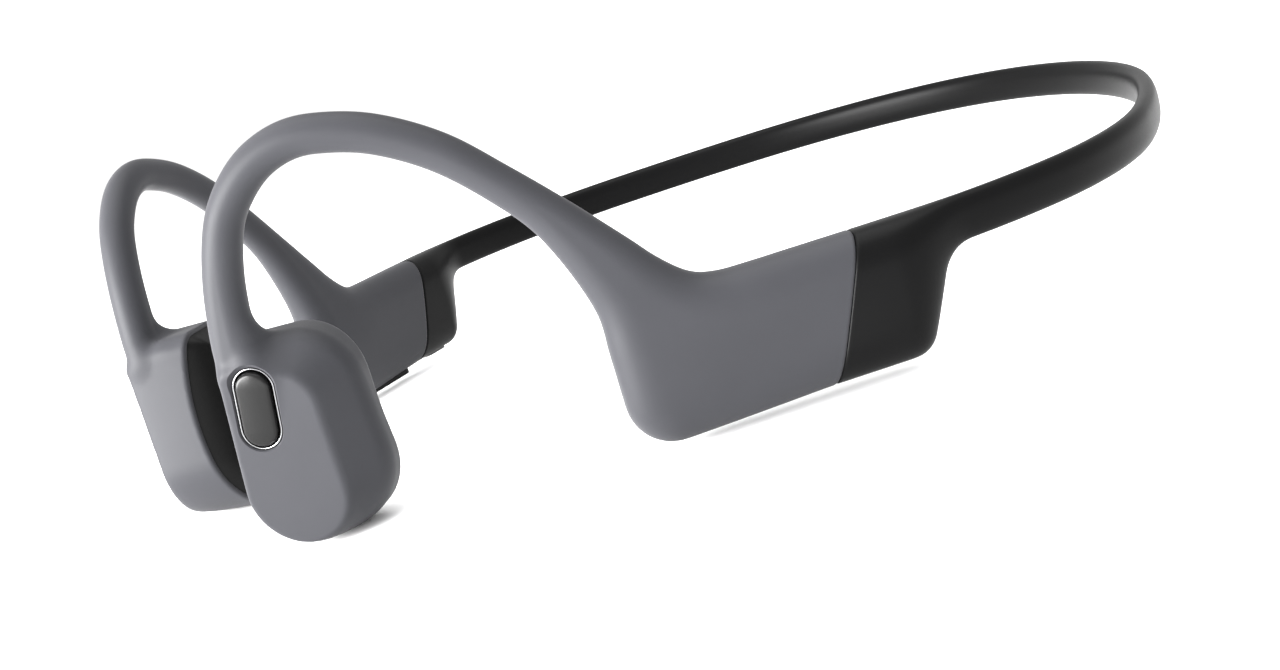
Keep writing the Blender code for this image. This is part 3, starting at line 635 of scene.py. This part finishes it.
def skinned(value, low, high, grid_values=None):
    """Points and quads of a field's zero inside a box. grid_values, if given, is quicker on a grid."""
    axes = [np.arange(a, b, STEP) for a, b in zip(low, high)]
    if grid_values is None:
        grid = grid_of(axes)
        values = value(grid.reshape(-1, 3)).reshape(grid.shape[:3])
    else:
        values = grid_values(axes)
    points, quads = surface_net(values)
    points = relax(points * STEP + np.array([a[0] for a in axes]), quads, RELAX_ROUNDS)
    return settle(points, value, SETTLE_ROUNDS), quads


def bmesh_of(points, quads):
    """Bmesh of points and four-cornered faces."""
    mesh = bpy.data.meshes.new("skin")
    mesh.from_pydata(points.tolist(), [], quads.tolist())
    bm = bmesh.new()
    bm.from_mesh(mesh)
    bpy.data.meshes.remove(mesh)
    return bm


def cut(bm, point, normal, clear):
    """Adds an edge loop along a plane, and removes what lies past it where clear is true."""
    bmesh.ops.bisect_plane(
        bm, geom=[*bm.verts, *bm.edges, *bm.faces], dist=CUT_TOLERANCE, plane_co=point, plane_no=normal,
        clear_outer=clear,
    )


def close(bm, normal):
    """Fills the open rim of a cut."""
    rim = [e for e in bm.edges if e.is_boundary]
    bmesh.ops.triangle_fill(bm, use_beauty=True, use_dissolve=False, edges=rim, normal=normal)


def trim(bm, point, normal):
    """Cuts off what lies past a plane, rounds the rim there, and closes it."""
    point = Vector(point)
    normal = Vector(normal).normalized()
    for reach, _ in EDGE_STEPS[::-1]:
        cut(bm, point - normal * reach, normal, clear=reach == 0.0)
    bm.normal_update()
    for v in bm.verts:
        gap = (point - v.co).dot(normal)
        if -1e-4 < gap < EDGE_STEPS[-1][0]:
            drop = np.interp(gap, [g for g, _ in EDGE_STEPS], [d for _, d in EDGE_STEPS])
            inward = v.normal - normal * v.normal.dot(normal)
            if inward.length > 0.3:
                v.co -= inward.normalized() * float(drop)
    close(bm, normal)


def map_points(bm, change):
    """Moves every vertex by a function of all places."""
    points = change(np.array([v.co for v in bm.verts]))
    for v, place in zip(bm.verts, points.tolist()):
        v.co = place


def piece(name, bm, material, mirror=False, sharp=SHARP_ANGLE):
    """Scene object, in metres, from a bmesh in millimetres."""
    flip = -1.0 if mirror else 1.0
    bmesh.ops.transform(bm, matrix=Matrix.Diagonal((flip * MM, MM, MM, 1.0)), verts=bm.verts)
    bmesh.ops.recalc_face_normals(bm, faces=bm.faces)
    if bm.calc_volume(signed=True) < 0:
        bmesh.ops.reverse_faces(bm, faces=bm.faces)
    mesh = bpy.data.meshes.new(name)
    bm.to_mesh(mesh)
    bm.free()
    mesh.materials.append(material)
    mesh.shade_smooth()
    mesh.set_sharp_from_angle(angle=math.radians(sharp))
    made = bpy.data.objects.new(name, mesh)
    bpy.context.scene.collection.objects.link(made)
    return made


# ---------------------------------------------------------------- materials

DRIFT_SIZE = 9.0
ROUGH_SPREAD = 0.05
BUMP_STRENGTH = 0.35
# Blend of the painted sheen: how soon the lighter edge colour comes in as a surface turns away from the view
PAINTED_SHEEN_BLEND = 0.28
COAT_ROUGHNESS = 0.12


def look(
    name, colour, rough, metal=0.0, vary=0.08, grain=0.02, grain_size=0.25, coat=0.0, edge=None, gleam=0.5,
):
    """Procedural finish: the colour drifts slowly, and a fine grain is in the roughness and on the surface.

    vary is the drift's share of the colour, grain and grain_size are the grain's height and width, edge is
    the colour of a painted sheen, mixed in where the surface turns away from the view, and gleam is the
    specular level.
    """
    material = bpy.data.materials.new(name + "_look")
    material.use_nodes = True
    nodes = material.node_tree.nodes
    link = material.node_tree.links.new
    shader = nodes["Principled BSDF"]
    shader.inputs["Metallic"].default_value = metal
    shader.inputs["Specular IOR Level"].default_value = gleam
    shader.inputs["Coat Weight"].default_value = coat
    shader.inputs["Coat Roughness"].default_value = COAT_ROUGHNESS
    at = nodes.new("ShaderNodeTexCoord").outputs["Object"]

    def noise(size, detail):
        made = nodes.new("ShaderNodeTexNoise")
        made.inputs["Scale"].default_value = 1 / (size * MM)
        made.inputs["Detail"].default_value = detail
        link(at, made.inputs["Vector"])
        return made.outputs["Fac"]

    drift = noise(DRIFT_SIZE, 3.0)
    tint = nodes.new("ShaderNodeMix")
    tint.data_type = "RGBA"
    tint.inputs["A"].default_value = (*[c * (1 - vary) for c in colour], 1)
    tint.inputs["B"].default_value = (*[min(c * (1 + vary), 1.0) for c in colour], 1)
    link(drift, tint.inputs["Factor"])
    result = tint.outputs["Result"]
    # Painted sheen: the colour is mixed towards the lighter edge colour where the surface turns away from the
    # view
    if edge is not None:
        painted_sheen_weight = nodes.new("ShaderNodeLayerWeight")
        painted_sheen_weight.inputs["Blend"].default_value = PAINTED_SHEEN_BLEND
        rim = nodes.new("ShaderNodeMix")
        rim.data_type = "RGBA"
        link(painted_sheen_weight.outputs["Facing"], rim.inputs["Factor"])
        link(result, rim.inputs["A"])
        rim.inputs["B"].default_value = (*edge, 1)
        result = rim.outputs["Result"]
    link(result, shader.inputs["Base Color"])
    fine = noise(grain_size, 2.0)
    spread = nodes.new("ShaderNodeMapRange")
    spread.inputs["To Min"].default_value = max(rough - ROUGH_SPREAD, 0.02)
    spread.inputs["To Max"].default_value = min(rough + ROUGH_SPREAD, 1.0)
    link(fine, spread.inputs["Value"])
    link(spread.outputs["Result"], shader.inputs["Roughness"])
    bump = nodes.new("ShaderNodeBump")
    bump.inputs["Strength"].default_value = BUMP_STRENGTH
    bump.inputs["Distance"].default_value = grain * MM
    link(fine, bump.inputs["Height"])
    link(bump.outputs["Normal"], shader.inputs["Normal"])
    return material


# The edge colours of these three skins are a painted sheen, lighter than their base colours
SKIN = look(
    "soft_grey", (0.0250, 0.0253, 0.0284), 0.46, grain=0.012, edge=(0.05, 0.05, 0.054), gleam=0.07,
)
BLACK = look(
    "soft_black", (0.0022, 0.0022, 0.0023), 0.36, grain=0.012, edge=(0.006, 0.006, 0.006), gleam=0.055,
)
RUBBER = look(
    "pad_silicone", (0.0025, 0.0025, 0.0025), 0.42, grain=0.02, edge=(0.005, 0.005, 0.005), gleam=0.07,
)
GLOSS = look("button_gloss", (0.006, 0.006, 0.006), 0.24, grain=0.004, gleam=0.14)
BRIGHT = look("bright_metal", (0.22, 0.22, 0.225), 0.22, metal=1.0, grain=0.004)
FINISHES = {
    "grey_skin": SKIN,
    "black_skin": BLACK,
    "pad_rubber": RUBBER,
    "button_gloss": GLOSS,
    "bright_metal": BRIGHT,
    "titanium": look("titanium_wire", (0.45, 0.43, 0.41), 0.32, metal=1.0),
    "iron": look("plated_iron", (0.34, 0.33, 0.33), 0.4, metal=1.0),
    "magnet_nickel": look("nickel", (0.6, 0.58, 0.54), 0.22, metal=1.0),
    "copper": look("copper_coil", (0.72, 0.32, 0.16), 0.3, metal=1.0, grain=0.05, grain_size=0.12),
    "board": look("board_green", (0.015, 0.11, 0.05), 0.35, coat=0.3, grain=0.02),
    "chip": look("chip_epoxy", (0.02, 0.02, 0.022), 0.5, grain=0.02),
    "cell_foil": look("cell_foil", (0.5, 0.51, 0.53), 0.3, metal=0.9, grain=0.06, grain_size=0.8),
    "frame_plastic": look("frame_plastic", (0.035, 0.035, 0.037), 0.45, grain=0.03),
    "gold": look("gold_plate", (0.83, 0.6, 0.24), 0.2, metal=1.0),
    "clear_plastic": look("light_pipe", (0.75, 0.78, 0.8), 0.2, vary=0.03, grain=0.005),
    "lead_jacket": look("lead_jacket", (0.05, 0.02, 0.02), 0.5, grain=0.02),
}


# ---------------------------------------------------------------- moulded skins

def arm_grid(axes):
    """The arm's field on a grid: the side view is worked out once, not for each layer."""
    s, z, n = axes
    shape = arm_shape(*np.meshgrid(s, z, indexing="ij"))
    shape = [np.broadcast_to(part, (len(s), len(z)))[..., None] for part in shape]
    return arm_value(shape, n)


def grey_grid(axes):
    """The grey body's field on a grid."""
    s, z, n = axes
    out = arm_grid(axes)
    first = int(np.searchsorted(s, POD_NEAR_S))
    last = int(np.searchsorted(z, POD_NEAR_Z))
    near = grid_of([s[first:], z[:last], n])
    out[first:, :last] = grey_value(near.reshape(-1, 3)).reshape(near.shape[:3])
    return out


def split_plane(shift):
    """Point and normal of the seam's plane, moved forwards by shift."""
    length = math.hypot(*SPLIT_NORMAL)
    s = SPLIT[0] + shift * SPLIT_NORMAL[0] / length
    z = SPLIT[1] + shift * SPLIT_NORMAL[1] / length
    return (s, z, 0.0), (SPLIT_NORMAL[0], SPLIT_NORMAL[1], 0.0)


def grey_bmesh():
    """Left ear hook, housing front and pod shell, up to the seam."""
    bm = bmesh_of(*skinned(grey_value, *GREY_BOX, grey_grid))
    point, normal = split_plane(SEAM)
    trim(bm, point, tuple(-part for part in normal))
    map_points(bm, from_arm)
    return bm


def black_bmesh():
    """Left half of the band with the housing's rear, from the rear centre to the seam."""
    bm = bmesh_of(*skinned(black_value, *BLACK_BOX, arm_grid))
    point, normal = split_plane(-SEAM)
    trim(bm, point, normal)
    cut(bm, (0, 0, 0), (-1, 0, 0), clear=True)
    close(bm, (-1, 0, 0))
    map_points(bm, from_arm)
    return bm


def pad_bmesh():
    """Left contact pad."""
    bm = bmesh_of(*skinned(pad_value, *PAD_BOX))
    map_points(bm, POD.out)
    return bm


# ---------------------------------------------------------------- small turned and moulded pieces

def pill(long, wide, centre, lean=0.0, per_end=28):
    """Stadium outline whose long side stands up, leaning by an angle in degrees."""
    run = (long - wide) / 2
    ends = [np.linspace(0, math.pi, per_end), np.linspace(math.pi, TURN, per_end)]
    out = []
    for end, angles in zip((1, -1), ends):
        out += [(math.cos(t) * wide / 2, end * run + math.sin(t) * wide / 2) for t in angles]
    cosine = math.cos(math.radians(lean))
    sine = math.sin(math.radians(lean))
    return [(centre[0] + a * cosine + u * sine, centre[1] - a * sine + u * cosine) for a, u in out]


def loft(rings, closed=False):
    """Bmesh through rings of equal length, with end caps unless the run closes on itself."""
    bm = bmesh.new()
    rows = [[bm.verts.new(p) for p in ring] for ring in rings]
    pairs = list(zip(rows, rows[1:] + rows[:1] if closed else rows[1:]))
    for first, second in pairs:
        for i in range(len(first)):
            bm.faces.new((first[i - 1], first[i], second[i], second[i - 1]))
    if not closed:
        bm.faces.new(rows[0])
        bm.faces.new(rows[-1][::-1])
    return bm


def rim_profile(radius, face, count=5):
    """(grown by, depth) steps that round a cap's rim from its face down to its side."""
    angles = np.linspace(0, math.pi / 2, count)
    return [(-radius * (1 - math.sin(t)), face + radius * (1 - math.cos(t))) for t in angles]


def cap_loft(place, outline, half_width, face, back, radius, crown):
    """Button cap: a gently domed face, a rounded rim and a straight side."""
    steps = []
    reach = half_width - radius - DOME_MIDDLE
    for f in np.linspace(1.0, 0.0, DOME_RINGS)[:-1]:
        steps.append((-radius - reach * f, face - crown * f * (2 - f)))
    steps += rim_profile(radius, face)
    steps.append((0.0, back))
    rings = []
    for by, depth in steps:
        rings.append(place.out([(a, u, depth) for a, u in outline(by)]))
    return loft(rings)


def flared(outline, place, face, floor):
    """Rings of a pocket that cuts the skin at face: a small chamfer there, then straight walls to floor."""
    steps = [(CHAMFER + 1.0, face - 1.0), (CHAMFER, face), (0.0, face + CHAMFER), (0.0, floor)]
    return [place.out([(a, u, depth) for a, u in outline(by)]) for by, depth in steps]


def carve(target, rings, mirror=False):
    """Cuts one closed shape out of a finished piece."""
    cutter = piece("cutter", loft(rings), BLACK, mirror)
    tool = target.modifiers.new("carve", "BOOLEAN")
    tool.operation = "DIFFERENCE"
    tool.solver = "EXACT"
    tool.object = cutter
    bpy.context.view_layer.update()
    graph = bpy.context.evaluated_depsgraph_get()
    mesh = bpy.data.meshes.new_from_object(target.evaluated_get(graph))
    target.modifiers.clear()
    target.data = mesh
    mesh.shade_smooth()
    mesh.set_sharp_from_angle(angle=math.radians(SHARP_ANGLE))
    bpy.data.objects.remove(cutter)


def finish_piece(made, body, slot, *nodes):
    """Rides a piece on a body and hides the CAD nodes that it stands for; slot is not used."""
    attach(made, body)
    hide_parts(*nodes)


def button_outline(by):
    """The multifunction button's outline in the pod, grown by a distance."""
    return pill(BUTTON_LONG + 2 * by, BUTTON_WIDE + 2 * by, BUTTON_AT, BUTTON_LEAN)


def grown_pill(long, wide, by, shift=0.0):
    """An outline under the housing, grown by a distance and moved along the arm."""
    return pill(long + 2 * by, wide + 2 * by, (0.0, shift))


def underside_place(s):
    """Frame under the housing: across points outward, up runs along the arm, depth points up into it."""
    x, y, heading = (float(part) for part in plan(s))
    normal = (math.sin(heading), math.cos(heading), 0.0)
    along = (math.cos(heading), -math.sin(heading), 0.0)
    return Place((x, y, 0.0), normal, along, (0.0, 0.0, 1.0))


# ---------------------------------------------------------------- the visible pieces

def make_skins():
    """The six moulded skins by name, the right ones mirrored."""
    kinds = [
        ("_arm_skin", grey_bmesh(), SKIN),
        ("_band_skin", black_bmesh(), BLACK),
        ("_ear_pad", pad_bmesh(), RUBBER),
    ]
    made = {}
    for side, mirror in SIDES:
        for kind, bm, material in kinds:
            made[side + kind] = piece(side + kind, bm.copy(), material, mirror)
    for _, bm, _ in kinds:
        bm.free()
    return made


def cut_pockets(skins):
    """Openings in the skins for the button, the volume strip, the status light and the charging port."""

    def button_hole(by):
        return button_outline(RECESS + by)

    carve(skins["left_arm_skin"], flared(button_hole, POD, FACE_AT, BUTTON_HOLE_BACK))
    pockets = [
        ("right_arm_skin", STRIP_AT, STRIP_LONG + 2 * GAP, STRIP_WIDE + 2 * GAP, STRIP_SKIN),
        ("right_arm_skin", LIGHT_AT, LIGHT_LONG, LIGHT_WIDE, HOUSING_BASE),
        ("right_band_skin", CHARGE_AT, CHARGE_LONG + 2 * GAP, CHARGE_WIDE + 2 * GAP, HOUSING_BASE),
    ]
    for skin, s, long, wide, face in pockets:
        outline = partial(grown_pill, long, wide)
        carve(skins[skin], flared(outline, underside_place(s), face, POCKET_TOP), mirror=True)


def make_button():
    """The left pod's button cap and the bright ring round it."""

    def cap_outline(by):
        return button_outline(BUTTON_GROWN + by)

    half_width = BUTTON_WIDE / 2 + BUTTON_GROWN
    cap = cap_loft(POD, cap_outline, half_width, BUTTON_FACE, BUTTON_BACK, BUTTON_ROUND, BUTTON_CROWN)
    key = piece("left_button_cap", cap, GLOSS)
    finish_piece(key, "multifunction_button", "button_gloss", "multifunction_button")
    rings = [POD.out([(a, u, FACE_AT + depth) for a, u in button_outline(by)]) for by, depth in RING_SECTION]
    ring = piece("left_button_ring", loft(rings, closed=True), BRIGHT, sharp=60.0)
    finish_piece(ring, "left_arm", "bright_metal", "button_bezel")


def make_volume_keys():
    """The two keys that stand out of the strip under the right housing."""
    under = underside_place(STRIP_AT)
    shape = (VOLUME_WIDE / 2, VOLUME_FACE, VOLUME_BACK, VOLUME_ROUND, VOLUME_CROWN)
    for name, way in (("volume_up", 1), ("volume_down", -1)):
        outline = partial(grown_pill, VOLUME_LONG, VOLUME_WIDE, shift=way * (VOLUME_LONG / 2 + VOLUME_APART))
        key = piece("right_" + name, cap_loft(under, outline, *shape), GLOSS, mirror=True)
        finish_piece(key, name, "button_gloss", name + "_button")


def ride_skins(skins):
    """Rides the grey skins and pads on their arms, hides the CAD covers that the black skins stand for, and
    bakes the black skins in place.
    """
    for side, mirror in SIDES:
        arm = side + "_arm"
        grey_nodes = (side + "_ear_hook_skin", side + "_pod_shell")
        finish_piece(skins[side + "_arm_skin"], arm, "grey_skin", *grey_nodes)
        finish_piece(skins[side + "_ear_pad"], arm, "pad_rubber", side + "_contact_pad")
        flip = -1 if mirror else 1
        stretch = [(BAND_HALF_LENGTH - BEND_HALF, BEND_AT_Z, 0), (BAND_HALF_LENGTH + BEND_HALF, BEND_AT_Z, 0)]
        first, last = from_arm(stretch) * (flip * MM, MM, MM)
        skin = skins[side + "_band_skin"]
        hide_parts(side + "_rear_cover", *(["neckband_skin"] if side == "left" else []))
        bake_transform(skin)


skins = make_skins()
cut_pockets(skins)
make_button()
make_volume_keys()
ride_skins(skins)

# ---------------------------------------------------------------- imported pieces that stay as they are

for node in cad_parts.values():
    node.data.materials[0] = FINISHES[node.data.materials[0].name]


# ---------------------------------------------------------------- studio

FLOOR_HALF = 30.0
ROOM_LIGHT = 1.15
CAMERA_AT = (185.5, -130.9, 49.1)
CAMERA_RIGHT = (0.5735, 0.770, -0.279)
CAMERA_UP = (-0.007, 0.345, 0.938)
LENS = 43.8
SENSOR_WIDTH = 36.0


def studio():
    """An even white room and a plain pale floor."""
    scene = bpy.context.scene
    scene.view_settings.view_transform = "Standard"
    world = bpy.data.worlds.new("white_room")
    world.use_nodes = True
    world.node_tree.nodes["Background"].inputs["Color"].default_value = (1, 1, 1, 1)
    world.node_tree.nodes["Background"].inputs["Strength"].default_value = ROOM_LIGHT
    scene.world = world
    mesh = bpy.data.meshes.new("floor")
    corners = [(x * FLOOR_HALF, y * FLOOR_HALF, 0) for x, y in ((-1, -1), (1, -1), (1, 1), (-1, 1))]
    mesh.from_pydata(corners, [], [(0, 1, 2, 3)])
    mesh.materials.append(look("floor_paper", (0.9, 0.9, 0.9), 0.9, vary=0.01, grain=0.01, grain_size=2.0))
    floor = bpy.data.objects.new("floor", mesh)
    scene.collection.objects.link(floor)


def softbox(name, place, aim, size, power):
    """A rectangular soft lamp, in metres and watts, turned to a point."""
    lamp = bpy.data.lights.new(name, "AREA")
    lamp.shape = "RECTANGLE"
    lamp.size, lamp.size_y = size
    lamp.energy = power
    made = bpy.data.objects.new(name, lamp)
    made.location = place
    made.rotation_euler = (Vector(aim) - Vector(place)).to_track_quat("-Z", "Y").to_euler()
    bpy.context.scene.collection.objects.link(made)


def camera():
    """The camera, from the front left and a little above, rolled as if held at a slant."""
    lens = bpy.data.cameras.new("camera")
    lens.lens = LENS
    lens.sensor_width = SENSOR_WIDTH
    lens.clip_start = 0.005
    made = bpy.data.objects.new("camera", lens)
    right = Vector(CAMERA_RIGHT).normalized()
    up = Vector(CAMERA_UP)
    up = (up - right * up.dot(right)).normalized()
    turn = Matrix((right, up, right.cross(up))).transposed().to_4x4()
    made.matrix_world = Matrix.Translation(Vector(CAMERA_AT) * MM) @ turn
    bpy.context.scene.collection.objects.link(made)
    bpy.context.scene.camera = made


studio()
camera()
softbox("above", (0.10, 0.0, 0.60), (0.0, -0.02, 0.02), (0.6, 0.6), 5.0)
softbox("front", (-0.02, -0.60, 0.13), (0.02, -0.06, 0.02), (0.5, 0.24), 24.0)
softbox("table", (0.17, -0.12, 0.001), (0.17, -0.12, 0.1), (0.2, 0.2), 0.25)
